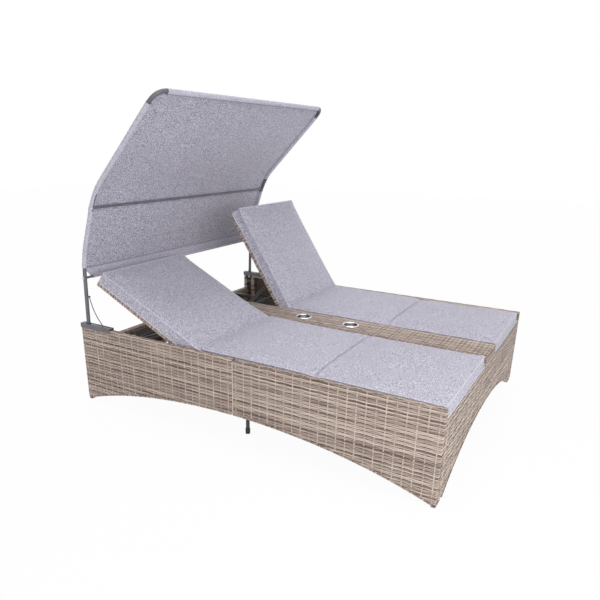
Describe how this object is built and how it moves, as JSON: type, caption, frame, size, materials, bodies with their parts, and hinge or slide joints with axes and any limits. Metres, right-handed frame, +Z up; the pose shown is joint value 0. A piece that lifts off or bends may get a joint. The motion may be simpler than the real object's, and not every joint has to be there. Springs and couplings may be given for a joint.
{
  "type": "double chaise lounger",
  "caption": "Woven double lounger with two reclining backs, padded seats, a drinks console with steel cup holders and a curved tilting canopy on tube posts.",
  "frame": {"origin": "on the floor under the middle of the lounger", "axes": "+Y from the foot end to the head end, +X to the right seen from the foot end, +Z up"},
  "size_m": [1.604, 2, 1.6043],
  "materials": {
    "wicker": "satin",
    "base_metal": "satin",
    "canopy_metal": "satin",
    "cup_steel": "polished",
    "fasteners": "satin",
    "rubber": "matte",
    "glide_plastic": "matte",
    "cushion_fabric": "matte",
    "canopy_fabric": "matte"
  },
  "bodies": {
    "frame": {"side_weave_left_head": "wicker", "head_wall_weave_left": "wicker", "side_weave_left_foot": "wicker", "foot_wall_weave_left": "wicker", "side_weave_right_head": "wicker", "head_wall_weave_right": "wicker", "side_weave_right_foot": "wicker", "foot_wall_weave_right": "wicker", "side_frame_left_head": "base_metal", "head_wall_frame_left": "base_metal", "side_frame_left_foot": "base_metal", "foot_wall_frame_left": "base_metal", "side_frame_right_head": "base_metal", "head_wall_frame_right": "base_metal", "side_frame_right_foot": "base_metal", "foot_wall_frame_right": "base_metal", "console_weave": "wicker", "console_frame": "base_metal", "cup_holder_head": "cup_steel", "cup_holder_foot": "cup_steel", "seat_deck_weave_left": "wicker", "seat_deck_weave_right": "wicker", "seat_deck_frame_left": "base_metal", "seat_deck_frame_right": "base_metal", "foot_beams": "base_metal", "middle_beams": "base_metal", "middle_legs": "base_metal", "leg_caps": "rubber", "corner_glides": "glide_plastic", "rack_subframe_left": "base_metal", "rack_subframe_right": "base_metal", "notched_racks": "base_metal", "hinge_brackets": "base_metal", "hinge_pins": "fasteners", "seam_bolts": "fasteners", "corner_bolts": "fasteners", "seat_cushion_left": "cushion_fabric", "seat_cushion_right": "cushion_fabric", "canopy_plates": "canopy_metal", "canopy_pivot_pins": "fasteners"},
    "backrest_left": {"backrest_weave_left": "wicker", "backrest_frame_left": "base_metal", "back_cushion_left": "cushion_fabric", "stay_pins_left": "fasteners"},
    "backrest_right": {"backrest_weave_right": "wicker", "backrest_frame_right": "base_metal", "back_cushion_right": "cushion_fabric", "stay_pins_right": "fasteners"},
    "stay_left": {"stay_left": "base_metal"},
    "stay_right": {"stay_right": "base_metal"},
    "canopy": {"canopy_post_left": "canopy_metal", "canopy_post_right": "canopy_metal", "canopy_hoop": "canopy_metal", "canopy_mid_bar": "canopy_metal", "canopy_bottom_bar": "canopy_metal", "canopy_bolts": "fasteners", "canopy_fabric": "canopy_fabric"},
    "arc_stay_left": {"arc_stay_left": "canopy_metal"},
    "arc_stay_right": {"arc_stay_right": "canopy_metal"}
  },
  "joints": [
    {"name": "backrest_left_tilt", "type": "hinge", "parent": "frame", "child": "backrest_left", "pos_m": [-0.4385, 0.252, 0.371], "axis": [1, 0, 0], "range_deg": [-26, 31]},
    {"name": "backrest_right_tilt", "type": "hinge", "parent": "frame", "child": "backrest_right", "pos_m": [0.4385, 0.252, 0.371], "axis": [1, 0, 0], "range_deg": [-57, 0]},
    {"name": "stay_left_swing", "type": "hinge", "parent": "backrest_left", "child": "stay_left", "pos_m": [-0.4385, 0.47915, 0.45731], "axis": [1, 0, 0], "range_deg": [-54.5, 45.7]},
    {"name": "stay_right_swing", "type": "hinge", "parent": "backrest_right", "child": "stay_right", "pos_m": [0.4385, 0.40225, 0.56198], "axis": [1, 0, 0], "range_deg": [0, 101.2]},
    {"name": "canopy_tilt", "type": "hinge", "parent": "frame", "child": "canopy", "pos_m": [0, 0.955, 0.416], "axis": [1, 0, 0], "range_deg": [-8, 8]},
    {"name": "arc_stay_left_swing", "type": "hinge", "parent": "canopy", "child": "arc_stay_left", "pos_m": [-0.7815, 0.932, 0.6], "axis": [1, 0, 0], "range_deg": [-9.7, 9.7]},
    {"name": "arc_stay_right_swing", "type": "hinge", "parent": "canopy", "child": "arc_stay_right", "pos_m": [0.7815, 0.932, 0.6], "axis": [1, 0, 0], "range_deg": [-9.7, 9.7]}
  ],
  "couplings": [
    {"joint": "stay_left_swing", "follows": "backrest_left_tilt", "ratio": -1.755},
    {"joint": "stay_right_swing", "follows": "backrest_right_tilt", "ratio": -1.7737},
    {"joint": "arc_stay_left_swing", "follows": "canopy_tilt", "ratio": -1.2},
    {"joint": "arc_stay_right_swing", "follows": "canopy_tilt", "ratio": -1.2}
  ]
}
